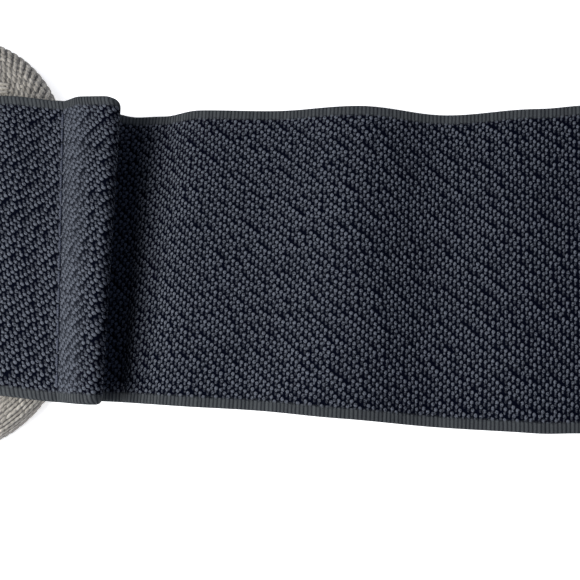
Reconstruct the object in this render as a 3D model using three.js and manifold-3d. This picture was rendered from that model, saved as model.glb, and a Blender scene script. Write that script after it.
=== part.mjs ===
// Elastic stretch belt with a rounded, cord-covered buckle, laid open and face down.
// Millimetres, +Z up. X runs along the belt, from the buckle to the hook, and Z = 0 is the surface
// that the belt lies on. The side of the belt that touches the wearer faces up.

import * as THREE from 'three';
import { mergeVertices } from 'three/addons/utils/BufferGeometryUtils.js';
import Module from 'manifold-3d';

// Driving dimensions of the whole belt
const beltLength = 690; // from the ring's outer edge to the hook's tip
const clearance = 0.3; // between pieces that touch
const arcSteps = 8; // straight steps in a quarter or half turn of a small arc
const mergeWithin = 1e-4; // points nearer than this are one

// Elastic strap
const strapWidth = 48.5;
const strapWall = 1.4;
const strapOffCentre = 0.7; // how far the strap has slid along the bar
const layerGap = 0.1; // between layers that a seam presses together
const wavesHigh = 4; // how far the strap's highest wave lifts off the table

// Buckle ring with its braided cover: a cushion-shaped frame between a circle and a square
const ringHalfLength = 36.75; // from the centre to the middle of the side that the strap crosses
const ringRoom = 4; // from the strap's edge to the ring, if the strap lay in its middle
const ringSquareness = 3.1; // exponent of its outline: 2 is a circle, and a square has no limit
const ringTurn = THREE.MathUtils.degToRad(9.9); // how far it lies turned under the strap
const ringBand = 9.5;
const ringHeight = 6;
const ringCorner = 2.8; // radius of the section's rounded corners
const ringSteps = 96;

// Bar across the ring
const barWidth = 8;
const barThickness = 2.6;
const barSetBack = 0.4; // from the ring's back face down to the bar
const barSeat = 3.5; // how far each end goes into the ring

// Hem at the ring: the strap's end, sewn down just past the ring's edge and folded under
const seamPastRing = 1.2; // from the ring's side to the seam
const hemPastRing = 9.8; // from the ring's side to the hem's fold
const hemOpen = 0.3; // between the two layers of the fold
const hemDroop = 0.2; // how much lower the fold lies than the layers at the seam
const hemSlide = -0.4; // how far sideways the end is sewn on
const returnPuff = 1.2; // how far the returned layer stands off between bar and seam
const seamSkew = -0.1; // run of the seam along the belt for each millimetre across the strap
const hemSkew = -0.045; // the same for the fold
const crestRun = 4; // from the seam to the level stretch of the fold
const rawEndRun = 3.8; // from the seam to the cut end of the fold
const puffRun = 10; // from the seam to the level stretch over the ring

// Fall of the strap from the seam to the table, and its dip into the ring's hole
const fallRun = 8.4;
const dipRun = 5; // from the hole's edge to the level stretch on the ring

// Hook at the far end
const plateThickness = 1.8;
const hookDrop = 6.3; // from the table to the plate's underside
const hookBar = 4;
const slotWidth = 3.6;
const slotSpare = 0.5; // beside the strap, at each end of the slot
const sideFrame = 4; // plate beside the slot
const plateCorner = 3;
const shoulder = 2; // plate past the slot before it narrows
const mouthSpare = 2; // the hook's mouth is this much longer than the ring's band
const lipWidth = 24;
const lipBend = 2.4;
const lipLean = THREE.MathUtils.degToRad(12);

// Hem at the hook
const hookSeamRun = 14; // from the hook's bar to the seam
const hookHem = 8.5; // from the seam to the fold
const hookFootRun = 12; // from the hook's bar to where the strap lifts off the table

// Level spots of the strap between the ring and the hook, each a crest or a trough: how far along
// the open run it lies, as a share of that run, how high, as a share of wavesHigh, and how far the
// strap has wandered sideways there, as a share of wanderMost
const wanderMost = 0.4;
const waves = [
  { along: 0.006, high: 0.03, aside: 0.2 },
  { along: 0.019, high: 0.62, aside: 0.3 },
  { along: 0.04, high: 0.44, aside: 0.6 },
  { along: 0.064, high: 0.95, aside: 0 },
  { along: 0.089, high: 0.2, aside: -1 },
  { along: 0.112, high: 0.62, aside: -0.5 },
  { along: 0.125, high: 0.64, aside: 0.7 },
  { along: 0.18, high: 0, aside: 0 },
  { along: 0.27, high: 0.55, aside: 0.6 },
  { along: 0.36, high: 0, aside: -0.5 },
  { along: 0.45, high: 0.4, aside: 0 },
  { along: 0.54, high: 0, aside: 0.8 },
  { along: 0.65, high: 0.6, aside: 0.2 },
  { along: 0.76, high: 0, aside: -0.6 },
  { along: 0.86, high: 0.35, aside: 0 },
  { along: 0.93, high: 0, aside: 0 },
];

// Places that follow from the sizes above. X is measured from the ring's centre until the end.
const strapHalf = strapWidth / 2;
const wallHalf = strapWall / 2;
const holeHalfLength = ringHalfLength - ringBand;
const holeHalfWidth = strapHalf + ringRoom;
const ringHalfWidth = holeHalfWidth + ringBand; // from the centre to the sides beside the strap
const reachPower = ringSquareness / (ringSquareness - 1);
const lengthReach = (ringHalfLength * Math.cos(ringTurn)) ** reachPower;
const widthReach = (ringHalfWidth * Math.sin(ringTurn)) ** reachPower;
const ringReach = (lengthReach + widthReach) ** (1 / reachPower);
const barMiddle = ringHeight - barSetBack - barThickness / 2;
const loopRadius = barThickness / 2 + clearance + wallHalf;
const onRing = ringHeight + clearance + wallHalf;
const seamX = ringHalfLength + seamPastRing;
const hemX = ringHalfLength + hemPastRing;
const hemRadius = (strapWall + hemOpen) / 2;
const footX = seamX + fallRun;
const holeShare = ((strapHalf + strapOffCentre) / holeHalfWidth) ** ringSquareness;
const holeX = holeHalfLength * (1 - holeShare) ** (1 / ringSquareness);

const plateMiddle = hookDrop + plateThickness / 2;
const hookLoopInner = Math.hypot(plateThickness / 2, plateThickness / 2) + clearance;
const hookLoop = hookLoopInner + wallHalf;
const lipFoot = (plateThickness / 2) * Math.sin(lipLean);
const lipArcMiddle = plateMiddle - lipBend;
const lipStraight = (lipArcMiddle - lipBend * Math.sin(lipLean) - lipFoot) / Math.cos(lipLean);
const lipInset = lipStraight * Math.sin(lipLean) + lipBend * (1 - Math.cos(lipLean));
const webLength = ringBand + mouthSpare + lipInset + plateThickness;
const hookTipX = beltLength - ringReach;
const slotFarX = hookTipX - webLength;
const hookBarX = slotFarX - slotWidth - hookBar / 2;
const lipArcX = hookTipX - plateThickness / 2 - lipBend;

// A line in X and Z, with a sideways shift in Y, that is drawn on from level spot to level spot
class LevelLine {
  constructor(x, z, shift) {
    this.points = [new THREE.Vector3(x, shift, z)];
  }

  // Eased step to the next level spot
  easeTo(x, z, steps, shift = this.points.at(-1).y) {
    const from = this.points.at(-1);
    for (let step = 1; step <= steps; step += 1) {
      const share = step / steps;
      const eased = (1 - Math.cos(Math.PI * share)) / 2;
      this.points.push(new THREE.Vector3(
        THREE.MathUtils.lerp(from.x, x, share),
        THREE.MathUtils.lerp(from.y, shift, eased),
        THREE.MathUtils.lerp(from.z, z, eased),
      ));
    }
    return this;
  }

  // Arc about a centre, angles in quarter turns
  arcAbout(centreX, centreZ, radius, fromQuarter, toQuarter, steps) {
    const shift = this.points.at(-1).y;
    for (let step = 1; step <= steps; step += 1) {
      const quarter = THREE.MathUtils.lerp(fromQuarter, toQuarter, step / steps);
      const angle = (quarter * Math.PI) / 2;
      const x = centreX + radius * Math.cos(angle);
      this.points.push(new THREE.Vector3(x, shift, centreZ + radius * Math.sin(angle)));
    }
    return this;
  }
}

// Closed outline of a band of even thickness along a line: its right side, then its left side back
function bandOutline(points, thickness) {
  const right = [];
  const left = [];
  points.forEach((point, i) => {
    const before = points[Math.max(i - 1, 0)];
    const after = points[Math.min(i + 1, points.length - 1)];
    const side = new THREE.Vector3(before.z - after.z, 0, after.x - before.x).setLength(thickness / 2);
    left.push(point.clone().add(side));
    right.push(point.clone().sub(side));
  });
  return right.concat(left.reverse());
}

// Closed mesh between two band outlines that stand at two places across the belt
function bandAcross(nearY, nearOutline, farY, farOutline) {
  const count = nearOutline.length;
  const positions = [
    ...nearOutline.flatMap((point) => [point.x, nearY + point.y, point.z]),
    ...farOutline.flatMap((point) => [point.x, farY + point.y, point.z]),
  ];
  const triangles = [];
  for (let i = 0; i < count; i += 1) {
    const next = (i + 1) % count;
    triangles.push(i, next + count, next);
    triangles.push(i, i + count, next + count);
  }
  for (let i = 0; i + 1 < count / 2; i += 1) {
    const facing = count - 1 - i;
    triangles.push(i, i + 1, facing - 1);
    triangles.push(i, facing - 1, facing);
    triangles.push(i + count, facing - 1 + count, i + 1 + count);
    triangles.push(i + count, facing + count, facing - 1 + count);
  }
  const geometry = new THREE.BufferGeometry();
  geometry.setAttribute('position', new THREE.Float32BufferAttribute(positions, 3));
  geometry.setIndex(triangles);
  return geometry;
}

// Middle line of the strap at a place across it, from the cut end at the ring to the cut end at
// the hook. The bar lies turned with the ring, and the loop round it follows.
function strapLine(across) {
  const seam = seamX + seamSkew * across;
  const fold = hemX + hemSkew * across - hemRadius - wallHalf;
  const foot = footX + hemSkew * across;
  const seamLayer = onRing + strapWall + layerGap;
  const foldLayer = seamLayer - hemDroop;
  const crest = foldLayer + 2 * hemRadius;
  const returned = seamLayer + returnPuff;
  const barX = -Math.tan(ringTurn) * (across + strapOffCentre);
  const barEdge = barWidth / 2 - barThickness / 2;
  const underBar = barMiddle - loopRadius;
  const overBar = barMiddle + loopRadius;
  const line = new LevelLine(seam + rawEndRun, foldLayer, hemSlide)
    .easeTo(fold, foldLayer, 1)
    .arcAbout(fold, foldLayer + hemRadius, hemRadius, -1, 1, 10)
    .easeTo(seam + crestRun, crest, 1)
    .easeTo(seam, seamLayer, 12)
    .easeTo(seam - puffRun, returned, 12, 0)
    .easeTo(holeX + dipRun, returned, 1)
    .easeTo(barX - barEdge, overBar, 14)
    .arcAbout(barX - barEdge, barMiddle, loopRadius, 1, 3, 12)
    .easeTo(barX + barEdge, underBar, 1)
    .easeTo(holeX + dipRun, onRing, 14)
    .easeTo(seam, onRing, 1)
    .easeTo(foot, wallHalf, 14);

  const farFoot = hookBarX - hookFootRun;
  const run = farFoot - footX;
  for (const wave of waves) {
    const height = wallHalf + wave.high * wavesHigh;
    line.easeTo(footX + wave.along * run, height, 8, wave.aside * wanderMost);
  }

  const loopX = hookBarX + hookBar / 2 - plateThickness / 2;
  const underHook = plateMiddle - hookLoop;
  const overHook = plateMiddle + hookLoop;
  const hookSeam = hookBarX - hookSeamRun;
  const hookFold = hookSeam - hookHem + hemRadius + wallHalf;
  const hookSeamLayer = wallHalf + strapWall + layerGap;
  const hookFoldLayer = wallHalf + strapWall + 2 * layerGap;
  const hookCrest = hookFoldLayer + 2 * hemRadius;
  line.easeTo(farFoot, wallHalf, 2)
    .easeTo(hookBarX - hookBar / 2, underHook, 12)
    .easeTo(loopX, underHook, 1)
    .arcAbout(loopX, plateMiddle, hookLoop, -1, 1, 12)
    .easeTo(hookBarX - hookBar / 2, overHook, 1)
    .easeTo(hookSeam, hookSeamLayer, 16)
    .easeTo(hookSeam - crestRun, hookCrest, 12)
    .easeTo(hookFold, hookCrest, 1)
    .arcAbout(hookFold, hookFoldLayer + hemRadius, hemRadius, 1, 3, 10)
    .easeTo(hookSeam - rawEndRun, hookFoldLayer, 1);
  return line.points;
}

function makeStrap() {
  const near = bandOutline(strapLine(-strapHalf), strapWall);
  const far = bandOutline(strapLine(strapHalf), strapWall);
  return bandAcross(strapOffCentre - strapHalf, near, strapOffCentre + strapHalf, far);
}

// Rounded slab section with its length along the ring's own Y axis, for the bar and, grown by the
// clearance, its seats in the ring
function makeBar(grow) {
  const radius = barThickness / 2 + grow;
  const straight = barWidth / 2 - barThickness / 2;
  const section = new THREE.Shape();
  section.absarc(straight, 0, radius, -Math.PI / 2, Math.PI / 2, false);
  section.absarc(-straight, 0, radius, Math.PI / 2, (3 * Math.PI) / 2, false);
  const length = 2 * (holeHalfWidth + barSeat + grow);
  const geometry = new THREE.ExtrudeGeometry(section, {
    depth: length,
    bevelEnabled: false,
    curveSegments: arcSteps,
  });
  geometry.translate(0, 0, -length / 2);
  geometry.rotateX(Math.PI / 2);
  geometry.translate(0, 0, barMiddle);
  geometry.rotateZ(ringTurn);
  return geometry;
}

// Ring section with rounded corners: how far in from the outline, and how high
function ringSection() {
  const section = new THREE.Path();
  const low = ringCorner;
  const high = ringHeight - ringCorner;
  section.absarc(ringCorner, low, ringCorner, Math.PI, (3 * Math.PI) / 2, false);
  section.absarc(ringBand - ringCorner, low, ringCorner, -Math.PI / 2, 0, false);
  section.absarc(ringBand - ringCorner, high, ringCorner, 0, Math.PI / 2, false);
  section.absarc(ringCorner, high, ringCorner, Math.PI / 2, Math.PI, false);
  return section.getPoints(2);
}

// Ring: the section carried round the cushion-shaped outline, each point set in square to it
function makeRingBlank() {
  const section = ringSection();
  const count = section.length;
  const positions = [];
  const triangles = [];
  for (let step = 0; step < ringSteps; step += 1) {
    const angle = (2 * Math.PI * step) / ringSteps;
    const cosine = Math.cos(angle);
    const sine = Math.sin(angle);
    const size = Math.abs(cosine) ** ringSquareness + Math.abs(sine) ** ringSquareness;
    const share = 1 / size ** (1 / ringSquareness);
    const outward = new THREE.Vector2(
      (Math.sign(cosine) * Math.abs(cosine) ** (ringSquareness - 1)) / ringHalfLength,
      (Math.sign(sine) * Math.abs(sine) ** (ringSquareness - 1)) / ringHalfWidth,
    ).normalize();
    const next = ((step + 1) % ringSteps) * count;
    section.forEach((point, i) => {
      const x = ringHalfLength * share * cosine - outward.x * point.x;
      const y = ringHalfWidth * share * sine - outward.y * point.x;
      positions.push(x, y, point.y);
      const here = step * count + i;
      const beside = step * count + ((i + 1) % count);
      const ahead = next + i;
      const aheadBeside = next + ((i + 1) % count);
      triangles.push(here, beside, ahead, beside, aheadBeside, ahead);
    });
  }
  const geometry = new THREE.BufferGeometry();
  geometry.setAttribute('position', new THREE.Float32BufferAttribute(positions, 3));
  geometry.setIndex(triangles);
  geometry.rotateZ(ringTurn);
  return geometry;
}

// Plan of the hook's plate, with the strap's slot
function makeHookPlate() {
  const slotHalf = strapHalf + slotSpare;
  const half = slotHalf + sideFrame;
  const lipHalf = lipWidth / 2;
  const barX = hookBarX - hookBar / 2;
  const wideX = slotFarX + shoulder;
  const handle = (lipArcX - wideX) / 2;
  const plan = new THREE.Shape();
  plan.absarc(barX + plateCorner, -half + plateCorner, plateCorner, Math.PI, (3 * Math.PI) / 2, false);
  plan.lineTo(wideX, -half);
  plan.bezierCurveTo(wideX + handle, -half, lipArcX - handle, -lipHalf, lipArcX, -lipHalf);
  plan.lineTo(lipArcX, lipHalf);
  plan.bezierCurveTo(lipArcX - handle, lipHalf, wideX + handle, half, wideX, half);
  plan.absarc(barX + plateCorner, half - plateCorner, plateCorner, Math.PI / 2, Math.PI, false);
  const slot = new THREE.Path();
  slot.moveTo(slotFarX - slotWidth, -slotHalf);
  slot.lineTo(slotFarX, -slotHalf);
  slot.lineTo(slotFarX, slotHalf);
  slot.lineTo(slotFarX - slotWidth, slotHalf);
  slot.closePath();
  plan.holes.push(slot);
  const geometry = new THREE.ExtrudeGeometry(plan, {
    depth: plateThickness,
    bevelEnabled: false,
    curveSegments: arcSteps,
  });
  geometry.translate(0, strapOffCentre, hookDrop);
  return geometry;
}

// Lip of the hook: the plate bent down and a little back under itself
function makeHookLip() {
  const leanQuarter = lipLean / (Math.PI / 2);
  const bend = new LevelLine(lipArcX - plateThickness, plateMiddle, 0)
    .easeTo(lipArcX, plateMiddle, 1)
    .arcAbout(lipArcX, lipArcMiddle, lipBend, 1, -leanQuarter, 10);
  const end = bend.points.at(-1).clone();
  end.x -= lipStraight * Math.sin(lipLean);
  end.z -= lipStraight * Math.cos(lipLean);
  const outline = bandOutline([...bend.points, end], plateThickness);
  const half = lipWidth / 2;
  return bandAcross(strapOffCentre - half, outline, strapOffCentre + half, outline);
}

// Joining and cutting of closed meshes
const wasm = await Module();
wasm.setup();

function toSolid(geometry) {
  const bare = geometry.clone();
  bare.deleteAttribute('normal');
  bare.deleteAttribute('uv');
  const merged = mergeVertices(bare, mergeWithin);
  const mesh = new wasm.Mesh({
    numProp: 3,
    vertProperties: new Float32Array(merged.attributes.position.array),
    triVerts: new Uint32Array(merged.index.array),
  });
  return new wasm.Manifold(mesh);
}

function toGeometry(solid) {
  const mesh = solid.getMesh();
  const geometry = new THREE.BufferGeometry();
  geometry.setAttribute('position', new THREE.Float32BufferAttribute(mesh.vertProperties, 3));
  geometry.setIndex(new THREE.Uint32BufferAttribute(mesh.triVerts, 1));
  return geometry;
}

// The belt
const belt = new THREE.Group();
const fromRing = new THREE.Group();
fromRing.position.x = ringReach - beltLength / 2;
belt.add(fromRing);

function addPiece(name, geometry, material) {
  geometry.computeVertexNormals();
  const mesh = new THREE.Mesh(geometry, material);
  mesh.name = name;
  fromRing.add(mesh);
}

const cordGrey = new THREE.MeshStandardMaterial({ color: 0x8f8b84, roughness: 0.8, metalness: 0 });
const elasticBlack = new THREE.MeshStandardMaterial({ color: 0x1c1f28, roughness: 0.9, metalness: 0 });
const plainSteel = new THREE.MeshStandardMaterial({ color: 0xb4b6b8, roughness: 0.35, metalness: 1 });
const hookSteel = new THREE.MeshStandardMaterial({ color: 0xaeb0b2, roughness: 0.3, metalness: 1 });

const ring = toSolid(makeRingBlank()).subtract(toSolid(makeBar(clearance)));
addPiece('buckle_ring', toGeometry(ring), cordGrey);
addPiece('centre_bar', makeBar(0), plainSteel);
addPiece('strap', makeStrap(), elasticBlack);
addPiece('hook_clasp', toGeometry(toSolid(makeHookPlate()).add(toSolid(makeHookLip()))), hookSteel);

export default belt;
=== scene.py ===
"""Looks of an open elastic belt with a corded buckle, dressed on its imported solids.

The belt lies face down. X runs along it from the buckle to the hook, Y across it and Z up.
Sizes are in millimetres, as the solids' own, and become metres where a mesh is made.
"""

import logging
import math
from dataclasses import dataclass
from enum import Enum

import bpy
import numpy as np
from bpy.types import ID, Material, NodeSocket, Object
from mathutils import Matrix, Vector


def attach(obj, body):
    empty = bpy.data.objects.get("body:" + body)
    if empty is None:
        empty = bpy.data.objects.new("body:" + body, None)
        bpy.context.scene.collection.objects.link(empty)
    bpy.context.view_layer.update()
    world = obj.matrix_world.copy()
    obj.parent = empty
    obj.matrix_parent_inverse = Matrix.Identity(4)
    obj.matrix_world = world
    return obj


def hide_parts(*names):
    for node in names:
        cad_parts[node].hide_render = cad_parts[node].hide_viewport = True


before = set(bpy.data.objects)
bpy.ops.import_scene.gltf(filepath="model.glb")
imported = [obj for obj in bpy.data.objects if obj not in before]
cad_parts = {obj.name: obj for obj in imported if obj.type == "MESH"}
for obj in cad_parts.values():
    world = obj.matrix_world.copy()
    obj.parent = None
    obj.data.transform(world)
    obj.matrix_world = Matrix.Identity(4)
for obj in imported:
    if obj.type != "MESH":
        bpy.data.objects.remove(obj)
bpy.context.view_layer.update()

LOG = logging.getLogger("belt")
MM = 0.001
TINY = 1e-9
LEAST_HEIGHT = 0.02
PATTERN_SHIFT = 40
GRAIN_CUT = (0.0, 0.0, -0.3)
Colour = tuple[float, float, float]
Triple = tuple[float, float, float]
Faces = list[tuple[int, ...]]
Pair = tuple[np.ndarray, np.ndarray]


class Place(Enum):
    """A spot along the strap's line that other pieces are set against."""

    RING_SEAM = "ring seam"
    HOOK_SEAM = "hook seam"
    RUN_START = "start of the open run"


# Shader maths


class Socket:
    """A shader node's output that Python's operators can calculate with."""

    def __init__(self, graph: "Graph", link: NodeSocket | None) -> None:
        """Keeps the output, if there is one, and the graph that new nodes go into."""
        self.graph = graph
        self.link = link

    def _math(self, operation: str, *others: "Socket | float") -> "Socket":
        """Result of a Math node on this value and others."""
        inputs = dict(enumerate((self, *others)))
        return self.graph.node("ShaderNodeMath", {"operation": operation}, inputs)

    def __add__(self, other: "Socket | float") -> "Socket":
        """Sum."""
        return self._math("ADD", other)

    def __sub__(self, other: "Socket | float") -> "Socket":
        """Difference."""
        return self._math("SUBTRACT", other)

    def __rsub__(self, other: float) -> "Socket":
        """Difference from a number in front."""
        return (self * -1)._math("ADD", other)

    def __mul__(self, other: "Socket | float") -> "Socket":
        """Product."""
        return self._math("MULTIPLY", other)

    def __truediv__(self, other: "Socket | float") -> "Socket":
        """Quotient."""
        return self._math("DIVIDE", other)

    def __pow__(self, other: float) -> "Socket":
        """Power."""
        return self._math("POWER", other)

    def floor(self) -> "Socket":
        """Whole part."""
        return self._math("FLOOR")

    def fract(self) -> "Socket":
        """Rest above the whole part."""
        return self._math("FRACT")

    def size(self) -> "Socket":
        """Value without its sign."""
        return self._math("ABSOLUTE")

    def at_least(self, low: "Socket | float") -> "Socket":
        """Value, or another one that is higher."""
        return self._math("MAXIMUM", low)

    def between(self, low: float, high: float) -> "Socket":
        """Share of the way from low to high, eased at both ends and held there."""
        inputs = {"Value": self, "From Min": low, "From Max": high}
        return self.graph.node("ShaderNodeMapRange", {"interpolation_type": "SMOOTHSTEP"}, inputs)

    __radd__ = __add__
    __rmul__ = __mul__


class Graph:
    """The node tree of one new material."""

    def __init__(self, name: str) -> None:
        """Makes the material and empties its tree."""
        self.material = bpy.data.materials.new(name)
        self.material.use_nodes = True
        self.tree = self.material.node_tree
        self.tree.nodes.clear()

    def node(
        self,
        kind: str,
        settings: dict[str, object] | None = None,
        inputs: dict[str | int, object] | None = None,
        output: str | int = 0,
    ) -> Socket:
        """Adds a node of any type.

        Args:
            kind: The node's type.
            settings: Its own properties, set before its sockets.
            inputs: Values or links by socket name or number.
            output: Which of its outputs is wanted.

        Returns:
            That output, or an empty socket where the node has none.
        """
        made = self.tree.nodes.new(kind)
        for name, value in (settings or {}).items():
            setattr(made, name, value)
        for name, value in (inputs or {}).items():
            if isinstance(value, Socket):
                self.tree.links.new(value.link, made.inputs[name])
            else:
                made.inputs[name].default_value = value
        return Socket(self, made.outputs[output] if made.outputs else None)

    def uv(self, name: str) -> tuple[Socket, Socket]:
        """Both parts of a mesh's own UV map.

        Args:
            name: The map's name.

        Returns:
            Its first and second part.
        """
        split = {"Vector": self.node("ShaderNodeUVMap", {"uv_map": name})}
        first = self.node("ShaderNodeSeparateXYZ", inputs=split, output="X")
        return first, self.node("ShaderNodeSeparateXYZ", inputs=split, output="Y")

    def value(self, name: str) -> Socket:
        """A value that the mesh gives each of its points."""
        return self.node("ShaderNodeAttribute", {"attribute_name": name}, output="Fac")

    def point(self, x: Socket, y: Socket | float) -> Socket:
        """A flat vector from two values."""
        return self.node("ShaderNodeCombineXYZ", inputs={0: x, 1: y})

    def object_place(self, stretch: Triple = (1.0, 1.0, 1.0)) -> Socket:
        """Object coordinates in metres, stretched along each axis."""
        place = self.node("ShaderNodeTexCoord", output="Object")
        return self.node("ShaderNodeMapping", inputs={"Vector": place, "Scale": stretch})

    def noise(self, place: Socket, scale: float, detail: float = 2.0) -> Socket:
        """Noise round a half, with lumps at a scale and layers of finer detail on them."""
        inputs = {"Vector": place, "Scale": scale, "Detail": detail}
        return self.node("ShaderNodeTexNoise", inputs=inputs)

    def scatter(self, place: Socket) -> Socket:
        """An even random number from 0 to 1 for each whole place."""
        return self.node("ShaderNodeTexWhiteNoise", inputs={"Vector": place})

    def mix(self, share: Socket, *ends: Socket | Colour) -> Socket:
        """A colour between two others, by the share of the second."""
        first, second = (end if isinstance(end, Socket) else (*end, 1.0) for end in ends)
        return self.node("ShaderNodeMix", {"data_type": "RGBA"}, {0: share, 6: first, 7: second}, 2)

    def bump(self, height: Socket, depth: float) -> Socket:
        """A normal from a height, whose 1 stands for a depth in millimetres."""
        inputs = {"Height": height, "Distance": depth * MM, "Strength": 1.0}
        return self.node("ShaderNodeBump", inputs=inputs)

    def finish(self, inputs: dict[str, object]) -> Material:
        """Ends the material in one surface shader.

        Args:
            inputs: Values or links of the shader's sockets.

        Returns:
            The material.
        """
        surface = self.node("ShaderNodeBsdfPrincipled", inputs=inputs)
        self.node("ShaderNodeOutputMaterial", inputs={"Surface": surface})
        return self.material


# Finishes


@dataclass(frozen=True)
class Dome:
    """A rounded part of a nub, whose half width is a share of the nub's own."""

    side: float
    up: float
    half_width: float
    half_length: float

    def rise(self, side: Socket, up: Socket, width: Socket) -> Socket:
        """Height of the dome, from 0 at its rim to 1.

        Args:
            side: Columns along the strap from the nub's middle.
            up: Nubs across the strap from it.
            width: Half the nub's width in columns.

        Returns:
            The height.
        """
        side_reach = (side - self.side) / width / self.half_width
        up_reach = (up - self.up) / self.half_length
        return (1 - (side_reach**2 + up_reach**2)).at_least(0.0) ** 0.5


@dataclass(frozen=True)
class ElasticFinish:
    """Woven elastic: leaning nubs in slanting rows over a dark ground, ribbed at both edges.
    The ground is the yarn's dark navy, deepened to near black as painted shade in the pits
    between nubs and ribs; each nub's tail is darker than its head, partly as painted shade.

    Lengths along the strap count columns of nubs, and those across it nubs.
    """

    # Dark navy yarn, deepened to near black as painted shade in the pits between nubs and ribs.
    ground: Colour = (0.0012, 0.0018, 0.0055)
    nub: Colour = (0.12, 0.131, 0.154)
    rib: Colour = (0.084, 0.091, 0.093)
    head: Dome = Dome(0.0, 0.12, 1.24, 0.235)
    tail: Dome = Dome(-0.16, -0.26, 0.85, 0.24)
    tail_height: float = 0.45
    # How bright a nub's tail is beside its head: partly its own make, partly painted shade.
    tail_tone_and_shade: float = 0.42
    columns_in_step: int = 3
    chance_along: float = 0.36
    chance_across: float = 0.26
    least_tone: float = 0.6
    more_tone: float = 0.75
    wander_grain: tuple[float, float] = (0.13, 0.3)
    wander_along: float = 0.4
    wander_across: float = 0.1
    fibre_grain: tuple[float, float] = (2.6, 6.2)
    patch_grain: float = 70.0
    edge_row: float = 16.2
    edge_blend: float = 0.2
    crowded_from: float = 0.46
    nub_depth: float = 0.22

    def _nub(
        self, g: Graph, along: Socket, across: Socket, width: Socket, step: int
    ) -> tuple[Socket, Socket]:
        """The nubs of one column near a place.

        Args:
            g: The material's graph.
            along: Columns of nubs up to the place.
            across: Nubs across the strap up to it.
            width: Half a nub's width in columns.
            step: Which column, from the place's own one.

        Returns:
            The height and the brightness that this column gives the place.
        """
        column = along.floor() + step
        stepped = across + column / self.columns_in_step
        row = stepped.floor()
        chance = g.scatter(g.point(column, row))
        up = stepped - row - 0.5 + (chance - 0.5) * self.chance_across
        side = along - column - 0.5 + (chance - 0.5) * self.chance_along
        head, tail = self.head.rise(side, up, width), self.tail.rise(side, up, width)
        # Bright head, dimmer tail: partly the nub's own make, partly painted shade on the tail.
        tone = head.between(0.0, 0.8).at_least(tail.between(0.0, 1.0) * self.tail_tone_and_shade)
        own_tone = self.least_tone + chance * self.more_tone
        return head.at_least(tail * self.tail_height), tone * own_tone

    def material(self) -> Material:
        """Makes the material. Its map counts columns along the strap and nubs across it.

        Returns:
            The material.
        """
        g = Graph("woven_elastic")
        along, across = g.uv("weave")
        width = g.value("nub_width")
        wander_place = g.point(along * self.wander_grain[0], across * self.wander_grain[1])
        wander = g.noise(wander_place, 1.0) - 0.5
        moved = along + wander * self.wander_along
        shifted = across + wander * self.wander_across
        height, tone = self._nub(g, moved, shifted, width, 0)
        for step in (-1, 1):
            dome, lit = self._nub(g, moved, shifted, width, step)
            height, tone = height.at_least(dome), tone.at_least(lit)
        fibre_place = g.point(along * self.fibre_grain[0], across * self.fibre_grain[1])
        fibre = g.noise(fibre_place, 1.0)
        patch = g.noise(g.object_place(), self.patch_grain)
        # Each column ends in one rib at both edges of the strap.
        rib_chance = g.scatter(g.point(moved.floor(), 0.5))
        rib = 1 - (moved.fract() * 2 - 1) ** 2
        edge_place = across.size() + (fibre - 0.5) * 0.5
        edge = edge_place.between(self.edge_row - self.edge_blend, self.edge_row + self.edge_blend)
        # Less ground shows between nubs that crowd together.
        crowded = (width - self.crowded_from).at_least(0.0) * 0.7
        speck = 0.25 + fibre.between(0.35, 0.65) * 1.5
        share = (tone * speck * (0.85 + patch * 0.3)) * (1 - crowded) + crowded
        rib_share = (0.08 + rib * 0.72) * (0.5 + fibre * 0.7) + rib_chance * 0.2
        relief = height * (1 - edge) + (rib * 0.4 + 0.4) * edge
        middle = g.mix(share, self.ground, self.nub)
        return g.finish(
            {
                "Base Color": g.mix(edge, middle, g.mix(rib_share, self.ground, self.rib)),
                "Roughness": 0.9,
                "Specular IOR Level": 0.02,
                "Normal": g.bump(relief + fibre * 0.2, self.nub_depth),
            }
        )


@dataclass(frozen=True)
class CordFinish:
    """Plaited cord: twisted pale fibres, each strand in a slightly other tone."""

    name: str
    pale: Colour
    dark: Colour
    fibre_depth: float = 0.06

    def material(self) -> Material:
        """Makes the material. Its map runs along each strand, and then round it.

        Returns:
            The material.
        """
        g = Graph(self.name)
        along, turn = g.uv("strand")
        fibre = g.noise(g.point(along * 0.9, turn * 9), 1.6, 3.0)
        stain = g.noise(g.object_place(), 160.0, 3.0)
        share = fibre.between(0.3, 0.7) * 0.5 + g.value("tone") * 0.35 + stain * 0.3 - 0.05
        return g.finish(
            {
                "Base Color": g.mix(share, self.dark, self.pale),
                "Roughness": 0.78,
                "Specular IOR Level": 0.35,
                "Sheen Weight": 0.15,
                "Normal": g.bump(fibre, self.fibre_depth),
            }
        )


@dataclass(frozen=True)
class CoreFinish:
    """Shaded cloth under the plait, seen only in the gaps between its strands."""

    pale: Colour = (0.2, 0.19, 0.17)
    dark: Colour = (0.06, 0.055, 0.05)

    def material(self) -> Material:
        """Makes the material.

        Returns:
            The material.
        """
        g = Graph("cord_core")
        grain = g.noise(g.object_place(), 1800.0, 3.0)
        return g.finish(
            {
                "Base Color": g.mix(grain.between(0.3, 0.7), self.dark, self.pale),
                "Roughness": 0.9,
                "Normal": g.bump(grain, 0.08),
            }
        )


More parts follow.
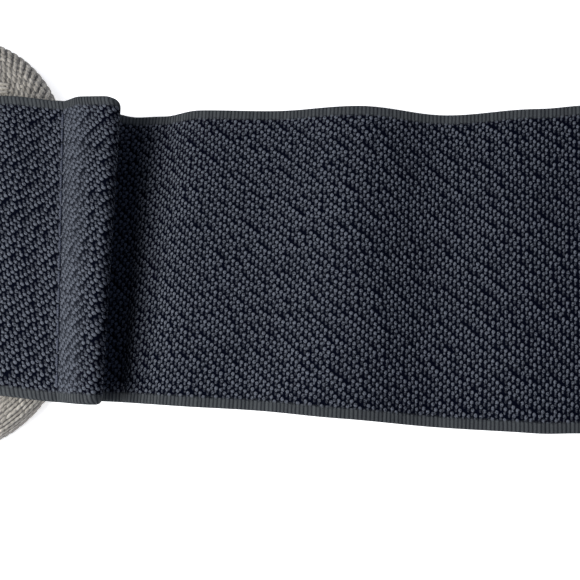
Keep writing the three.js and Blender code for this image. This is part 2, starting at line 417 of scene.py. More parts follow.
@dataclass(frozen=True)
class SteelFinish:
    """Satin steel with fine lines from its polishing and a few darker spots."""

    name: str
    tint: Colour
    stretch: Triple = (1500.0, 60.0, 1500.0)
    worn: float = 0.72

    def material(self) -> Material:
        """Makes the material.

        Returns:
            The material.
        """
        g = Graph(self.name)
        lines = g.noise(g.object_place(self.stretch), 1.0, 3.0)
        spots = g.noise(g.object_place(), 260.0, 4.0).between(0.58, 0.75)
        worn = tuple(part * self.worn for part in self.tint)
        return g.finish(
            {
                "Base Color": g.mix(spots * 0.6 + lines * 0.2, self.tint, worn),
                "Metallic": 1.0,
                "Roughness": 0.24 + lines * 0.14 + spots * 0.12,
                "Normal": g.bump(lines, 0.012),
            }
        )


@dataclass(frozen=True)
class ThreadFinish:
    """Dark sewing thread of twisted plies, painted pale on the ply ridges as highlight."""

    # Pale: painted highlight on the ply ridges. Dark: the thread's own navy.
    pale: Colour = (0.058, 0.067, 0.094)
    dark: Colour = (0.022, 0.027, 0.045)

    def material(self) -> Material:
        """Makes the material. Its map runs along each stitch, and then round it.

        Returns:
            The material.
        """
        g = Graph("sewing_thread")
        along, turn = g.uv("strand")
        # ply is 1 on each ply's ridge, where the colour turns pale as painted highlight.
        ply = ((along * 2.4 + turn).fract() * 2 - 1).size()
        return g.finish(
            {
                "Base Color": g.mix(ply, self.dark, self.pale),
                "Roughness": 0.6,
                "Normal": g.bump(ply, 0.05),
            }
        )


@dataclass(frozen=True)
class FloorFinish:
    """Plain pale table top that glows a little, as a light table does."""

    colour: Colour = (0.86, 0.86, 0.86)
    glow: float = 0.7

    def material(self) -> Material:
        """Makes the material.

        Returns:
            The material.
        """
        g = Graph("pale_floor")
        grain = g.noise(g.object_place(), 40.0)
        paler = tuple(part * 1.02 for part in self.colour)
        return g.finish(
            {
                "Base Color": g.mix(grain, self.colour, paler),
                "Roughness": 0.9,
                "Emission Color": (1.0, 1.0, 1.0, 1.0),
                "Emission Strength": self.glow,
            }
        )


# Meshes


def add_object(name: str, data: ID) -> Object:
    """Adds an object to the scene.

    Args:
        name: Its name.
        data: The mesh, light or camera that it holds.

    Returns:
        The object.
    """
    made = bpy.data.objects.new(name, data)
    bpy.context.scene.collection.objects.link(made)
    return made


def select_only(piece: Object) -> None:
    """Makes one piece the only one that operators act on."""
    bpy.ops.object.select_all(action="DESELECT")
    piece.select_set(True)
    bpy.context.view_layer.objects.active = piece


def new_piece(name: str, points: np.ndarray, faces: Faces, angle: float) -> Object:
    """Makes a piece from points and faces, smooth but for edges sharper than an angle.

    Args:
        name: The piece's name.
        points: Its points, in metres.
        faces: The points of each face, in order.
        angle: Bend above which an edge stays sharp, in degrees.

    Returns:
        The piece.
    """
    mesh = bpy.data.meshes.new(name)
    mesh.from_pydata(points.tolist(), [], faces)
    piece = add_object(name, mesh)
    select_only(piece)
    bpy.ops.object.shade_smooth_by_angle(angle=math.radians(angle))
    return piece


def set_uv(piece: Object, name: str, places: np.ndarray) -> None:
    """Gives a piece a UV map.

    Args:
        piece: The piece.
        name: The map's name.
        places: Two values for each of its points, or for each corner of its faces.
    """
    mesh = piece.data
    if len(places) == len(mesh.vertices):
        corners = np.zeros(len(mesh.loops), np.int32)
        mesh.loops.foreach_get("vertex_index", corners)
        places = places[corners]
    layer = mesh.uv_layers.new(name=name)
    layer.data.foreach_set("uv", places.astype(np.float32).ravel())


def set_value(piece: Object, name: str, values: np.ndarray) -> None:
    """Gives a piece one value for each of its points, which its material reads by name."""
    layer = piece.data.attributes.new(name, "FLOAT", "POINT")
    layer.data.foreach_set("value", values.astype(np.float32).ravel())


def paint(piece: Object, material: Material) -> None:
    """Gives a piece one material in place of any others."""
    piece.data.materials.clear()
    piece.data.materials.append(material)


def report(piece: Object) -> None:
    """Logs a finished piece."""
    LOG.info("%s: %d faces", piece.name, len(piece.data.polygons))


def dress(piece: Object, material: Material) -> None:
    """Gives a new piece its material, and lets it ride on the belt.

    Args:
        piece: The piece.
        material: Its material.
    """
    paint(piece, material)
    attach(piece, "root")


def unit(vectors: np.ndarray) -> np.ndarray:
    """Vectors of length 1 in the same directions."""
    return vectors / np.linalg.norm(vectors, axis=-1, keepdims=True)


def run_along(points: np.ndarray) -> np.ndarray:
    """Length run along one or more lines at each of their points."""
    steps = np.linalg.norm(np.diff(points, axis=0), axis=-1)
    return np.concatenate([np.zeros_like(steps[:1]), np.cumsum(steps, 0)])


def model_grain(segments: int, rings: int) -> tuple[np.ndarray, Faces]:
    """Models a strand: a rounded grain of length 2, cut off flat under its middle.

    Args:
        segments: Faces round it.
        rings: Faces along it.

    Returns:
        Its points, with their length along X, and its faces.
    """
    bpy.ops.object.select_all(action="DESELECT")
    bpy.ops.mesh.primitive_uv_sphere_add(
        segments=segments, ring_count=rings, radius=1.0, rotation=(0.0, math.pi / 2, 0.0)
    )
    grain = bpy.context.object
    bpy.ops.object.transform_apply(location=True, rotation=True, scale=True)
    bpy.ops.object.mode_set(mode="EDIT")
    bpy.ops.mesh.select_all(action="SELECT")
    bpy.ops.mesh.bisect(
        plane_co=GRAIN_CUT, plane_no=(0.0, 0.0, 1.0), clear_inner=True, use_fill=False
    )
    bpy.ops.object.mode_set(mode="OBJECT")
    points = np.array([vertex.co for vertex in grain.data.vertices])
    faces = [tuple(face.vertices) for face in grain.data.polygons]
    bpy.data.objects.remove(grain)
    return points, faces


def lay_grains(
    name: str, middles: np.ndarray, frames: np.ndarray, sizes: np.ndarray, seed: int
) -> Object:
    """Copies one modelled grain to many places, joined in one piece.

    Args:
        name: The piece's name.
        middles: Where each grain lies, in millimetres.
        frames: Its three directions: along, beside and up.
        sizes: Its half length, half width and height above the middle.
        seed: Start of the random tones.

    Returns:
        The piece.
    """
    shape, shape_faces = model_grain(segments=6, rings=5)
    count = len(shape)
    local = shape[None, :, :] * sizes[:, None, :]
    points = middles[:, None, :] + np.einsum("gpk,gkx->gpx", local, frames)
    points[..., 2] = np.maximum(points[..., 2], LEAST_HEIGHT)
    steps = np.arange(len(middles)) * count
    faces = [tuple(start + i for i in face) for start in steps for face in shape_faces]
    piece = new_piece(name, points.reshape(-1, 3) * MM, faces, 180.0)
    turn = np.arctan2(shape[:, 1], shape[:, 2]) / (2 * math.pi)
    chance = np.random.default_rng(seed).random(len(middles))
    along = local[..., 0] + chance[:, None] * PATTERN_SHIFT
    places = np.stack([along, np.broadcast_to(turn, along.shape)], -1)
    set_uv(piece, "strand", places.reshape(-1, 2))
    set_value(piece, "tone", np.repeat(chance, count))
    return piece


# Buckle


@dataclass
class BuckleOutline:
    """The buckle's cushion-shaped ring, with the same sizes as its solid."""

    half_length: float = 36.75
    half_width: float = 37.75
    squareness: float = 3.1
    turn: float = math.radians(9.9)
    band: float = 9.5
    height: float = 6.0
    corner: float = 2.8
    section_steps: int = 240

    def reach(self) -> float:
        """Works out the turned ring's size.

        Returns:
            How far it reaches along X from its middle.
        """
        power = self.squareness / (self.squareness - 1)
        length = (self.half_length * math.cos(self.turn)) ** power
        width = (self.half_width * math.sin(self.turn)) ** power
        return (length + width) ** (1 / power)

    def section(self) -> tuple[np.ndarray, np.ndarray, float]:
        """Line round the band's section, from the middle of its outer side over the top.

        Returns:
            Its points as distance in from the outline and height, its outward directions,
            and its whole length.
        """
        angles = np.radians(np.linspace(180, -180, self.section_steps + 1))
        low, high = self.corner, self.height - self.corner
        inner = np.where(np.cos(angles) > TINY, self.band - self.corner, self.corner)
        upper = np.where(np.sin(angles) >= 0, high, low)
        out = np.stack([np.cos(angles), np.sin(angles)], -1)
        points = np.stack([inner, upper], -1) + out * self.corner
        steps = np.linalg.norm(np.diff(points, axis=0, append=points[:1]), axis=1)
        return points, out, float(steps.sum())

    def surface(self, angle: np.ndarray, around: np.ndarray) -> Pair:
        """Points of the ring's surface.

        Args:
            angle: Where along the ring, counter-clockwise from its own X axis.
            around: Where round its section, as a share of the whole line.

        Returns:
            The points, measured from the ring's middle, and the outward directions there.
        """
        line, out, _ = self.section()
        share = run_along(line)
        share /= share[-1]
        at = np.mod(around, 1.0)
        inset, height, out_in, out_up = (
            np.interp(at, share, values) for values in (*line.T, *out.T)
        )
        cosine, sine = np.cos(angle), np.sin(angle)
        power = self.squareness
        size = (np.abs(cosine) ** power + np.abs(sine) ** power) ** (1 / power)
        halves = np.array([self.half_length, self.half_width])
        round_point = np.stack([cosine, sine], -1)
        edge = halves * round_point / size[..., None]
        away = unit(np.sign(round_point) * np.abs(round_point) ** (power - 1) / halves)
        flat = edge - away * inset[..., None]
        normal = -away * out_in[..., None]
        turn_x, turn_y = math.cos(self.turn), math.sin(self.turn)
        spin = np.array([[turn_x, -turn_y], [turn_y, turn_x]])
        points = np.concatenate([flat @ spin.T, height[..., None]], -1)
        normals = np.concatenate([normal @ spin.T, out_up[..., None]], -1)
        return points, unit(normals)


@dataclass
class BuckleCover:
    """Plaited cover of the buckle: twisted cords of short strands that wind round the ring.

    On its +Y side, where they lie steeply, every other cord sinks between its neighbours.
    """

    outline: BuckleOutline
    middle_x: float
    cords: int = 38
    pieces: int = 3
    ring_steps: int = 1440
    strand_step: float = 1.0
    strand_half: float = 0.78
    strand_side: float = 0.3
    side_growth: float = 0.3
    least_slant: float = math.radians(5)
    more_slant: float = math.radians(20)
    mean_lean: float = math.radians(-24)
    lean_swing: float = math.radians(-28)
    standing: float = 0.3
    base: float = 0.12
    sunk_more: float = 0.3
    side_height: float = 0.4
    step_chance: float = 0.08
    slant_chance: float = 0.07
    size_chance: float = 0.06
    look_ahead: float = 0.2
    seed: int = 11

    def _winding(self) -> Pair:
        """How the cords wind.

        Returns:
            Angles along the ring, and how far round the section a cord has come at each,
            as a share that closes on a whole number of cords.
        """
        angles = np.linspace(0, 2 * math.pi, self.ring_steps + 1)
        quarter_round = np.full_like(angles, 0.25)
        points, _ = self.outline.surface(angles, quarter_round)
        steps = np.linalg.norm(np.diff(points, axis=0), axis=1)
        middle = (angles[1:] + angles[:-1]) / 2 + self.outline.turn
        lean = np.tan(self.mean_lean + self.lean_swing * np.sin(middle))
        come = np.concatenate([[0.0], np.cumsum(lean * steps)])
        come /= self.outline.section()[2]
        whole = round(come[-1] * self.cords / 2) / self.cords * 2
        return angles, come * whole / come[-1]

    def _cord(self, cord: int, angles: np.ndarray, come: np.ndarray) -> tuple[np.ndarray, ...]:
        """Places the strands of one cord.

        Args:
            cord: Which one.
            angles: Angles along the ring.
            come: How far round the section the cord has come at each.

        Returns:
            Middles, directions and sizes of its strands.
        """
        steep = (1 + np.sin(angles + self.outline.turn)) / 2
        come = cord / self.cords + come
        line, _ = self.outline.surface(angles, come)
        run = run_along(line)
        count = round(run[-1] / self.strand_step)
        chance = np.random.default_rng(cord).normal(0.0, 1.0, (3, count))
        shift = (cord * 0.5) % 1.0 + chance[0] * self.step_chance
        at = (np.arange(count) + shift) / count * run[-1]
        angle, around = np.interp(at, run, angles), np.interp(at, run, come)
        place, up = self.outline.surface(angle, around)
        soon = at + self.look_ahead
        ahead, _ = self.outline.surface(np.interp(soon, run, angles), np.interp(soon, run, come))
        along = unit(ahead - place + TINY)
        beside = unit(np.cross(up, along))
        share = np.interp(at, run, steep)
        slant = self.least_slant + self.more_slant * share + chance[1] * self.slant_chance
        slanted = along * np.cos(slant[:, None]) + beside * np.sin(slant[:, None])
        flat = self.side_height + (1 - self.side_height) * np.abs(up[:, 2])
        half = self.strand_half * (1 + chance[2] * self.size_chance)
        wider = (1 + self.side_growth * share) * (1 + chance[1] * self.size_chance)
        sunk = self.base + (self.sunk_more * share[:, None] if cord % 2 else 0.0)
        height = self.standing * flat * (1 + chance[0] * self.step_chance) + self.base
        return (
            place - up * sunk,
            np.stack([slanted, unit(np.cross(up, slanted)), up], 1),
            np.stack([half, self.strand_side * wider, height], -1),
        )

    def build(self, name: str, cords: range) -> Object:
        """Builds some of the cords as one piece.

        Args:
            name: The piece's name.
            cords: Which ones.

        Returns:
            The piece.
        """
        winding = self._winding()
        middles, frames, sizes = zip(*(self._cord(cord, *winding) for cord in cords))
        middle = np.concatenate(middles) + np.array((self.middle_x, 0, 0))
        frame_stack, size_stack = np.concatenate(frames), np.concatenate(sizes)
        return lay_grains(name, middle, frame_stack, size_stack, self.seed)


@dataclass
class CordEnd:
    """Cut end of the plait: a few flat plies that lie side by side on the buckle."""

    middle: Triple = (20.5, 28.35, 6.15)
    half_length: float = 3.3
    ply_half: float = 0.36
    ply_height: float = 0.5
    overlap: float = 1.1
    plies: int = 3
    turn: float = math.radians(-4)
    seed: int = 5

    def build(self, middle_x: float) -> Object:
        """Builds the end.

        Args:
            middle_x: X of the ring's middle.

        Returns:
            The piece.
        """
        along = np.array((math.cos(self.turn), math.sin(self.turn), 0.0))
        beside = np.array((-along[1], along[0], 0.0))
        steps = (np.arange(self.plies) - (self.plies - 1) / 2) * 2 * self.ply_half
        start = np.array(self.middle) + np.array((middle_x, 0, 0))
        frames = np.tile(np.stack([along, beside, (0.0, 0.0, 1.0)]), (self.plies, 1, 1))
        size = (self.half_length, self.ply_half * self.overlap, self.ply_height)
        sizes = np.tile(size, (self.plies, 1))
        return lay_grains("cord_end", start + steps[:, None] * beside, frames, sizes, self.seed)


# Strap


class LevelLine:
    """A line in X and Z, with a sideways shift in Y, drawn on from level spot to level spot."""

    def __init__(self, x: float, z: float, shift: float) -> None:
        """Starts the line at a point."""
        self.points = [np.array((x, shift, z))]
        self.places: dict[Place, int] = {}

    def ease_to(self, x: float, z: float, steps: int, shift: float | None = None) -> "LevelLine":
        """Draws an eased step to the next level spot.

        Args:
            x: Where the spot is along the belt.
            z: Its height.
            steps: Straight steps on the way.
            shift: Sideways shift there, or none for the same as before.

        Returns:
            The line.
        """
        start = self.points[-1]
        end = np.array((x, start[1] if shift is None else shift, z))
        for step in range(1, steps + 1):
            share = step / steps
            eased = (1 - math.cos(math.pi * share)) / 2
            self.points.append(start + (end - start) * np.array((share, eased, eased)))
        return self

    def arc_about(
        self, x: float, z: float, radius: float, first: float, last: float, steps: int
    ) -> "LevelLine":
        """Draws an arc.

        Args:
            x: Its centre along the belt.
            z: Its centre's height.
            radius: Its radius.
            first: Where it starts, in quarter turns.
            last: Where it ends, in quarter turns.
            steps: Straight steps on the way.

        Returns:
            The line.
        """
        shift = self.points[-1][1]
        for step in range(1, steps + 1):
            angle = (first + (last - first) * step / steps) * math.pi / 2
            spot = (x + radius * math.cos(angle), shift, z + radius * math.sin(angle))
            self.points.append(np.array(spot))
        return self

    def mark(self, place: Place) -> "LevelLine":
        """Names the last point and gives back the line."""
        self.places[place] = len(self.points) - 1
        return self


@dataclass(frozen=True)
class Wave:
    """A crest or trough of the open run, in shares of its length, height and side wander."""

    along: float
    high: float
    aside: float
    tilt: float = 0.0


WAVES = (
    Wave(0.006, 0.26, 0.2, 0.23),
    Wave(0.019, 0.66, 0.3, 0.06),
    Wave(0.04, 0.44, 0.6, 0.05),
    Wave(0.064, 0.95, 0.0),
    Wave(0.089, 0.2, -1.0),
    Wave(0.112, 0.62, -0.5),
    Wave(0.125, 0.64, 0.7),
    Wave(0.18, 0.0, 0.0),
    Wave(0.27, 0.55, 0.6),
    Wave(0.36, 0.0, -0.5),
    Wave(0.45, 0.4, 0.0),
    Wave(0.54, 0.0, 0.8),
    Wave(0.65, 0.6, 0.2),
    Wave(0.76, 0.0, -0.6),
    Wave(0.86, 0.35, 0.0),
    Wave(0.93, 0.0, 0.0),
)


@dataclass(frozen=True)
class NubPitch:
    """Width of the columns of nubs, and half that of a nub, at a place from the ring's middle."""

    x: float
    pitch: float
    nub_half: float = 0.28


@dataclass
class Strap:
    """The elastic strap in one piece: hem, wrap round the bar, open run and wrap at the hook."""

    outline: BuckleOutline
    belt_length: float = 690.0
    clearance: float = 0.3
    width: float = 48.5
    wall: float = 1.4
    off_centre: float = 0.7
    layer_gap: float = 0.1
    waves_high: float = 4.0
    wander_most: float = 0.4
    ring_room: float = 4.0
    bar_width: float = 8.0
    bar_thickness: float = 2.6
    bar_set_back: float = 0.4
    seam_past_ring: float = 1.2
    hem_past_ring: float = 9.8
    hem_open: float = 0.3
    hem_droop: float = 0.2
    hem_slide: float = -0.4
    return_puff: float = 1.2
    seam_skew: float = -0.1
    hem_skew: float = -0.045
    crest_run: float = 4.0
    raw_end_run: float = 3.8
    puff_run: float = 10.0
    fall_run: float = 8.4
    dip_run: float = 5.0
    plate_thickness: float = 1.8
    hook_drop: float = 6.3
    hook_bar: float = 4.0
    slot_width: float = 3.6
    mouth_spare: float = 2.0
    lip_bend: float = 2.4
    lip_lean: float = math.radians(12)
    hook_seam_run: float = 14.0
    hook_hem: float = 8.5
    hook_foot_run: float = 12.0
    wave_step: float = 2.0
    least_steps: int = 10
    nub_across: float = 1.4
    face_share: float = 0.6
    corner_round: float = 1.0
    corner_reach: float = 1.3
    edge_round: float = 0.5
    edge_power: int = 4
    edge_zone: float = 3.5
    edge_stations: tuple[float, ...] = (0.0, 0.06, 0.22, 0.5, 0.9, 1.3, 1.9, 2.6)
    inner_stations: int = 27
    groove_depth: float = 0.25
    groove_half: float = 0.5
    groove_ripple: float = 0.28
    groove_most: float = 0.6
    sharp_bend: float = 50.0
    stitch_step: float = 2.6
    nub_pitches: tuple[NubPitch, ...] = (
        NubPitch(34.0, 0.67),
        NubPitch(37.6, 0.6),
        NubPitch(38.6, 0.43),
        NubPitch(41.5, 0.46),
        NubPitch(43.5, 0.6),
        NubPitch(46.5, 0.64),
        # Smaller nub halves at 49–56 mm and 100–112 mm show more dark ground: partly the weave's
        # own make, partly painted shade that darkens the strap there.
        NubPitch(49.0, 0.57, 0.238),
        NubPitch(56.0, 0.59, 0.242),
        NubPitch(66.0, 0.625, 0.262),
        NubPitch(80.0, 0.625, 0.258),
        NubPitch(100.0, 0.58, 0.225),
        NubPitch(112.0, 0.56, 0.208),
        NubPitch(1000.0, 0.58, 0.235),
    )

    @property
    def middle_x(self) -> float:
        """X of the ring's middle in the belt's frame."""
        return self.outline.reach() - self.belt_length / 2

    @property
    def seam_x(self) -> float:
        """X of the ring seam on the strap's middle line, from the ring's middle."""
        return self.outline.half_length + self.seam_past_ring

    @property
    def hook_bar_x(self) -> float:
        """Works out where the hook's bar is.

        Returns:
            Its X from the ring's middle.
        """
        middle = self.hook_drop + self.plate_thickness / 2 - self.lip_bend
        lean = self.lip_lean
        foot = self.plate_thickness / 2 * math.sin(lean)
        straight = (middle - self.lip_bend * math.sin(lean) - foot) / math.cos(lean)
        inset = straight * math.sin(lean) + self.lip_bend * (1 - math.cos(lean))
        web = self.outline.band + self.mouth_spare + inset + self.plate_thickness
        tip = self.belt_length - self.outline.reach()
        return tip - web - self.slot_width - self.hook_bar / 2

    def line(self, across: float) -> LevelLine:
        """Middle line of the wall at a place across the strap.

        Args:
            across: Distance from the strap's middle line.

        Returns:
            The line, from the cut end at the ring to the cut end at the hook.
        """
        half = self.wall / 2
        ring = self.outline
        on_ring = ring.height + self.clearance + half
        hem_radius = (self.wall + self.hem_open) / 2
        seam = self.seam_x + self.seam_skew * across
        fold = ring.half_length + self.hem_past_ring + self.hem_skew * across
        near_edge = max(0.0, 1 - (self.width / 2 - abs(across)) / self.corner_reach)
        fold -= hem_radius + half + self.corner_round * (1 - math.sqrt(1 - near_edge**2))
        foot_x = self.seam_x + self.fall_run
        seam_layer = on_ring + self.wall + self.layer_gap
        fold_layer = seam_layer - self.hem_droop
        crest = fold_layer + 2 * hem_radius
        returned = seam_layer + self.return_puff
        hole_width = self.width / 2 + self.ring_room
        share = ((self.width / 2 + self.off_centre) / hole_width) ** ring.squareness
        hole_x = (ring.half_length - ring.band) * (1 - share) ** (1 / ring.squareness)
        bar_middle = ring.height - self.bar_set_back - self.bar_thickness / 2
        loop = self.bar_thickness / 2 + self.clearance + half
        bar_x = -math.tan(ring.turn) * (across + self.off_centre)
        bar_edge = self.bar_width / 2 - self.bar_thickness / 2
        line = (
            LevelLine(seam + self.raw_end_run, fold_layer, self.hem_slide)
            .ease_to(fold, fold_layer, 6)
            .arc_about(fold, fold_layer + hem_radius, hem_radius, -1, 1, 20)
            .ease_to(seam + self.crest_run, crest, 4)
            .ease_to(seam, seam_layer, 26)
            .mark(Place.RING_SEAM)
            .ease_to(seam - self.puff_run, returned, 40, 0.0)
            .ease_to(hole_x + self.dip_run, returned, 6)
            .ease_to(bar_x - bar_edge, bar_middle + loop, 34)
            .arc_about(bar_x - bar_edge, bar_middle, loop, 1, 3, 24)
            .ease_to(bar_x + bar_edge, bar_middle - loop, 6)
            .ease_to(hole_x + self.dip_run, on_ring, 30)
            .ease_to(seam, on_ring, 14)
            .ease_to(foot_x + self.hem_skew * across, half, 20)
        )
        far_foot = self.hook_bar_x - self.hook_foot_run
        for wave in WAVES:
            x = foot_x + wave.along * (far_foot - foot_x)
            steps = max(self.least_steps, round(abs(x - line.points[-1][0]) / self.wave_step))
            high = wave.high - wave.tilt * across / (self.width / 2)
            line.ease_to(x, half + high * self.waves_high, steps, wave.aside * self.wander_most)
            if wave is WAVES[0]:
                line.mark(Place.RUN_START)
        loop_x = self.hook_bar_x + self.hook_bar / 2 - self.plate_thickness / 2
        near_x = self.hook_bar_x - self.hook_bar / 2
        hook_loop = self.plate_thickness / math.sqrt(2) + self.clearance + half
        plate_middle = self.hook_drop + self.plate_thickness / 2
        hook_seam = self.hook_bar_x - self.hook_seam_run
        hook_fold = hook_seam - self.hook_hem + hem_radius + half
        hook_layer = half + self.wall + 2 * self.layer_gap
        return (
            line.ease_to(far_foot, half, 20)
            .ease_to(near_x, plate_middle - hook_loop, 22)
            .ease_to(loop_x, plate_middle - hook_loop, 4)
            .arc_about(loop_x, plate_middle, hook_loop, -1, 1, 24)
            .ease_to(near_x, plate_middle + hook_loop, 4)
            .ease_to(hook_seam, half + self.wall + self.layer_gap, 40)
            .mark(Place.HOOK_SEAM)
            .ease_to(hook_seam - self.crest_run, hook_layer + 2 * hem_radius, 26)
            .ease_to(hook_fold, hook_layer + 2 * hem_radius, 4)
            .arc_about(hook_fold, hook_layer + hem_radius, hem_radius, 1, 3, 20)
            .ease_to(hook_seam - self.raw_end_run, hook_layer, 6)
        )

    def stations(self) -> np.ndarray:
        """Places across the strap.

        Returns:
            Distances from its middle, closer together at its rounded edges.
        """
        edge = self.width / 2
        inner = np.linspace(self.edge_zone - edge, edge - self.edge_zone, self.inner_stations)
        rim = np.array(self.edge_stations)
        return np.concatenate([rim - edge, inner, edge - rim[::-1]])

    def shell(self) -> tuple[np.ndarray, np.ndarray, np.ndarray, LevelLine]:
        """The strap's middle surface.

        Returns:
            Points by place along and station across, their outward directions on the top
            side, the length run at each, and the line down the middle.
        """
        middle = self.line(0.0)
        rows = []
        for across in self.stations():
            points = np.array(self.line(across).points)
            points[:, 1] += across + self.off_centre
            rows.append(points)
        surface = np.stack(rows, 1)
        ahead = np.concatenate([surface[1:], surface[-1:]])
        behind = np.concatenate([surface[:1], surface[:-1]])
        along = unit((ahead - behind) * np.array((1.0, 0.0, 1.0)))
        normal = np.stack([-along[..., 2], np.zeros(along.shape[:2]), along[..., 0]], -1)
        run = run_along(surface)
        run -= run[middle.places[Place.RUN_START]]
        return surface, normal, run, middle

    def groove(self, run: np.ndarray, middle: LevelLine) -> np.ndarray:
        """How far the stitches draw each point of the face that shows into the wall.

        Args:
            run: Length run at each point.
            middle: The line down the middle, which knows the seams.

        Returns:
            The depths.
        """
        depth = np.zeros_like(run)
        ripple = np.cos(2 * math.pi * self.stations() / self.stitch_step)
        pull = 1 + (ripple - 1) * self.groove_ripple
        for place in (Place.RING_SEAM, Place.HOOK_SEAM):
            away = run - run[middle.places[place]]
            depth += np.exp(-((away / self.groove_half) ** 2)) * pull
        return depth * self.groove_depth

    def build(self) -> tuple[Object, float]:
        """Builds the strap as a closed wall with rounded edges.

        Returns:
            The piece and the strap's length when it lies flat.
        """
        surface, normal, run, middle = self.shell()
        count, across_count = surface.shape[:2]
        stations = self.stations()
        rim = np.clip((self.width / 2 - np.abs(stations)) / self.edge_round, 0, 1)
        half = self.wall / 2 * (1 - (1 - rim) ** self.edge_power) ** (1 / self.edge_power)
        groove = np.minimum(self.groove(run, middle), half * self.groove_most)
        top = surface + normal * half[None, :, None]
        under = surface - normal * (half - groove)[..., None]
        loop = np.concatenate([top, under[:, -2:0:-1]], 1)
        loop[..., 0] += self.middle_x
        faces = self._faces(count, across_count)
        piece = new_piece("elastic_strap", loop.reshape(-1, 3) * MM, faces, self.sharp_bend)
        columns, width = self._columns(surface, top, run, middle)
        under_columns, _ = self._columns(surface, under, run, middle)
        rows = np.broadcast_to(stations / self.nub_across, run.shape)
        corners = []
        for sheet in (
            np.stack([columns, rows], -1),
            -np.stack([under_columns, rows], -1)[:, ::-1],
        ):
            near, far = sheet[:, :-1], sheet[:, 1:]
            corners.append(np.stack([near[:-1], near[1:], far[1:], far[:-1]], 2))
        sides = np.concatenate(corners, 1).reshape(-1, 2)
        ends = np.zeros((len(piece.data.loops) - len(sides), 2))
        set_uv(piece, "weave", np.concatenate([sides, ends]))
        set_value(piece, "nub_width", np.concatenate([width, width[:, -2:0:-1]], 1))
        centre_run = run[:, across_count // 2]
        return piece, float(centre_run[-1] - centre_run[0])

    def _faces(self, count: int, across_count: int) -> Faces:
        """Lists the faces of the closed wall: all along it, and then both cut ends.

        Args:
            count: Places along the strap.
            across_count: Stations across it.

        Returns:
            The faces.
        """
        around = 2 * across_count - 2
        index = np.arange(count * around).reshape(count, around)
        ahead = np.roll(index, -1, 1)
        sides = np.stack([index[:-1], index[1:], ahead[1:], ahead[:-1]], -1).reshape(-1, 4)
        last = around - 1
        end = [(j, j + 1, last - j, (last - j + 1) % around) for j in range(1, across_count - 2)]
        end += [(0, 1, last), (across_count - 2, across_count - 1, across_count)]
        far_end = [tuple((count - 1) * around + j for j in reversed(face)) for face in end]
        return sides.tolist() + end + far_end

    def _columns(
        self, surface: np.ndarray, face: np.ndarray, run: np.ndarray, middle: LevelLine
    ) -> Pair:
        """Counts the columns of nubs along one face.

        Args:
            surface: The middle surface.
            face: The points of the face.
            run: Length run along the middle surface.
            middle: The line down the middle.

        Returns:
            Columns from the start of the open run, and half a nub's width in columns.
        """
        spots = np.array([(spot.x, spot.pitch, spot.nub_half) for spot in self.nub_pitches])
        centre_x = surface[:, surface.shape[1] // 2, 0]
        pitch, nub_half = (np.interp(centre_x, spots[:, 0], spots[:, i])[:, None] for i in (1, 2))
        steps = np.diff(run, axis=0, prepend=run[:1])
        own = np.linalg.norm(np.diff(face, axis=0, prepend=face[:1]), axis=2)
        steps = steps + (own - steps) * self.face_share
        columns = np.cumsum(steps / pitch, 0)
        columns -= columns[middle.places[Place.RUN_START]]
        return columns, np.broadcast_to(nub_half / pitch, run.shape)


@dataclass
class Seams:
    """Rows of stitches that hold both ends of the strap down."""

    strap: Strap
    thread: float = 0.3
    margin: float = 1.8
    sunk_share: float = 0.35
    length_share: float = 0.94
    seed: int = 23

    def build(self) -> Object:
        """Builds the stitches on the face that shows, and on the one under the open run.

        Returns:
            The piece.
        """
        surface, normal, run, middle = self.strap.shell()
        stations = self.strap.stations()
        groove = self.strap.groove(run, middle)
        step = self.strap.stitch_step
        edge = self.strap.width / 2 - self.margin
        count = int(2 * edge / step)
        places = (np.arange(count) - (count - 1) / 2) * step
        middles, frames = [], []
        for place in (Place.RING_SEAM, Place.HOOK_SEAM):
            at = middle.places[place]
            sunk = self.strap.wall / 2 - groove[at] + self.thread * self.sunk_share
            row = surface[at] - normal[at] * sunk[:, None]
            spots = np.stack([np.interp(places, stations, row[:, i]) for i in range(3)], -1)
            along = unit(np.gradient(spots, axis=0))
            up = -np.broadcast_to(normal[at, len(stations) // 2], spots.shape)
            middles.append(spots + np.array((self.strap.middle_x, 0, 0)))
            frames.append(np.stack([along, unit(np.cross(up, along)), up], 1))
        size = (step / 2 * self.length_share, self.thread, self.thread)
        sizes = np.tile(size, (len(middles) * count, 1))
        middle_stack, frame_stack = np.concatenate(middles), np.concatenate(frames)
        return lay_grains("seam_stitches", middle_stack, frame_stack, sizes, self.seed)


# Metal


@dataclass
class MetalPart:
    """A rigid metal piece: its solid's shape with softened edges."""

    node: str
    name: str
    soften: float
    finish: SteelFinish
    merge: float = 0.002
    flat_bend: float = 2.0
    edge_bend: float = 35.0
    smooth_bend: float = 30.0

    def build(self) -> Object:
        """Builds the piece from a merged copy of its solid.

        Returns:
            The piece.
        """
        piece = add_object(self.name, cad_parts[self.node].data.copy())
        select_only(piece)
        bpy.ops.object.mode_set(mode="EDIT")
        bpy.ops.mesh.select_all(action="SELECT")
        bpy.ops.mesh.remove_doubles(threshold=self.merge * MM)
        bpy.ops.mesh.dissolve_limited(angle_limit=math.radians(self.flat_bend))
        bpy.ops.object.mode_set(mode="OBJECT")
        bevel = piece.modifiers.new("soft_edges", "BEVEL")
        bevel.width = self.soften * MM
        bevel.segments = 3
        bevel.limit_method = "ANGLE"
        bevel.angle_limit = math.radians(self.edge_bend)
        bpy.ops.object.modifier_apply(modifier=bevel.name)
        bpy.ops.object.shade_smooth_by_angle(angle=math.radians(self.smooth_bend))
        return piece


# Studio


class LampKind(Enum):
    """A kind of lamp, by the name of its value that softens shadows."""

    SUN = "angle"
    AREA = "size"


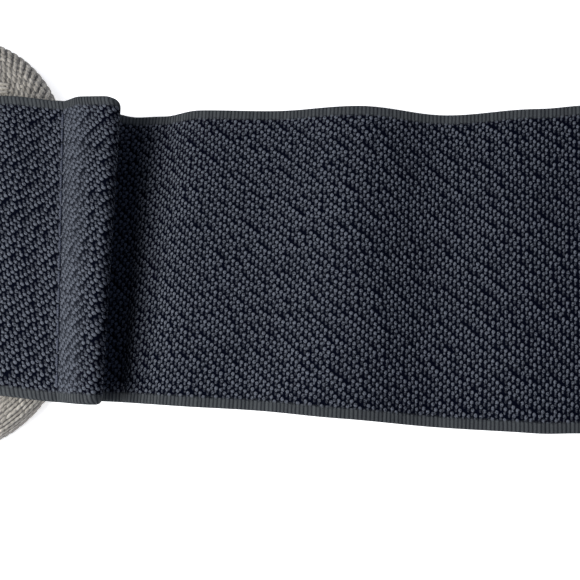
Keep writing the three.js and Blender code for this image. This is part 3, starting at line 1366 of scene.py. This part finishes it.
@dataclass(frozen=True)
class Lamp:
    """A lamp, placed and aimed from the ring's middle, in metres.

    A sun's place gives no more than its direction, and its softness is in radians.
    """

    name: str
    kind: LampKind
    place: Triple
    strength: float
    softness: float
    target: Triple = (0.0, 0.0, 0.0)


LAMPS = (
    Lamp("main_light", LampKind.SUN, (-0.44, -0.06, 1.0), 1.6, math.radians(48)),
    Lamp("fill_light", LampKind.SUN, (-0.3, 0.8, 1.2), 0.2, math.radians(60)),
    Lamp("near_light", LampKind.AREA, (-0.045, -0.06, 0.16), 0.34, 0.1, (-0.02, -0.06, 0.0)),
)


@dataclass
class Studio:
    """Floor, lights and camera, which stands as one did over the real belt.

    The floor's half size and how near and far the camera sees are in metres.
    """

    middle_x: float
    camera_place: Triple = (91.94, -20.0, 104.37)
    yaw: float = math.radians(10.03)
    pitch: float = math.radians(8.58)
    roll: float = math.radians(3.68)
    lens: float = 41.45
    view_from: float = 0.002
    view_to: float = 20.0
    floor_half: float = 3.0
    sky: Colour = (0.7, 0.86, 1.35)
    sky_strength: float = 0.14

    def floor(self) -> None:
        """Lays the floor that the belt lies on."""
        bpy.ops.mesh.primitive_plane_add(size=2 * self.floor_half, location=(0, 0, 0))
        floor = bpy.context.object
        floor.name = "floor"
        floor.data.materials.append(FloorFinish().material())

    def lights(self) -> None:
        """Sets up the lamps and an even sky."""
        for lamp in LAMPS:
            data = bpy.data.lights.new(lamp.name, lamp.kind.name)
            data.energy = lamp.strength
            setattr(data, lamp.kind.value, lamp.softness)
            light = add_object(lamp.name, data)
            light.location = Vector(lamp.place) + Vector((self.middle_x * MM, 0, 0))
            aim = Vector(lamp.place) - Vector(lamp.target)
            light.rotation_euler = aim.to_track_quat("Z", "Y").to_euler()
        world = bpy.data.worlds.new("sky")
        world.use_nodes = True
        background = world.node_tree.nodes["Background"]
        background.inputs["Color"].default_value = (*self.sky, 1.0)
        background.inputs["Strength"].default_value = self.sky_strength
        bpy.context.scene.world = world

    def camera(self) -> None:
        """Sets up the camera."""
        lens = bpy.data.cameras.new("camera")
        lens.lens = self.lens
        lens.clip_start, lens.clip_end = self.view_from, self.view_to
        camera = add_object("camera", lens)
        place = Vector(self.camera_place) + Vector((self.middle_x, 0, 0))
        turned = Matrix.Translation(place * MM)
        for angle, axis in ((self.yaw, "Y"), (self.pitch, "X"), (self.roll, "Z")):
            turned = turned @ Matrix.Rotation(angle, 4, axis)
        camera.matrix_world = turned
        bpy.context.scene.camera = camera

    def build(self) -> None:
        """Builds the whole studio."""
        self.floor()
        self.lights()
        self.camera()
        bpy.context.scene.view_settings.view_transform = "Standard"


def main() -> None:
    """Builds and dresses the belt, piece by piece."""
    logging.basicConfig(level=logging.INFO, format="%(message)s")
    outline = BuckleOutline()
    strap = Strap(outline)
    Studio(strap.middle_x).build()
    LOG.info("studio ready")

    strip, length = strap.build()
    dress(strip, ElasticFinish().material())
    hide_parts("strap")
    report(strip)
    seams = Seams(strap).build()
    dress(seams, ThreadFinish().material())
    report(seams)
    LOG.info("%s: %.0f mm long when flat", strip.name, length)

    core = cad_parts["buckle_ring"]
    paint(core, CoreFinish().material())
    report(core)
    cover = BuckleCover(outline, strap.middle_x)
    cord = CordFinish("plaited_cord", (0.54, 0.505, 0.44), (0.1, 0.088, 0.072)).material()
    share = math.ceil(cover.cords / cover.pieces)
    for number in range(cover.pieces):
        cords = range(number * share, min((number + 1) * share, cover.cords))
        piece = cover.build(f"plaited_cover_{number + 1}", cords)
        dress(piece, cord)
        report(piece)
    end = CordEnd().build(strap.middle_x)
    dress(end, cord)
    report(end)

    bar_steel = SteelFinish("bar_steel", (0.62, 0.63, 0.64))
    hook_steel = SteelFinish("hook_steel", (0.6, 0.61, 0.62))
    for part in (
        MetalPart("centre_bar", "bar_rod", 0.12, bar_steel),
        MetalPart("hook_clasp", "hook_plate", 0.3, hook_steel),
    ):
        piece = part.build()
        dress(piece, part.finish.material())
        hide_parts(part.node)
        report(piece)


if __name__ == "__main__":
    main()
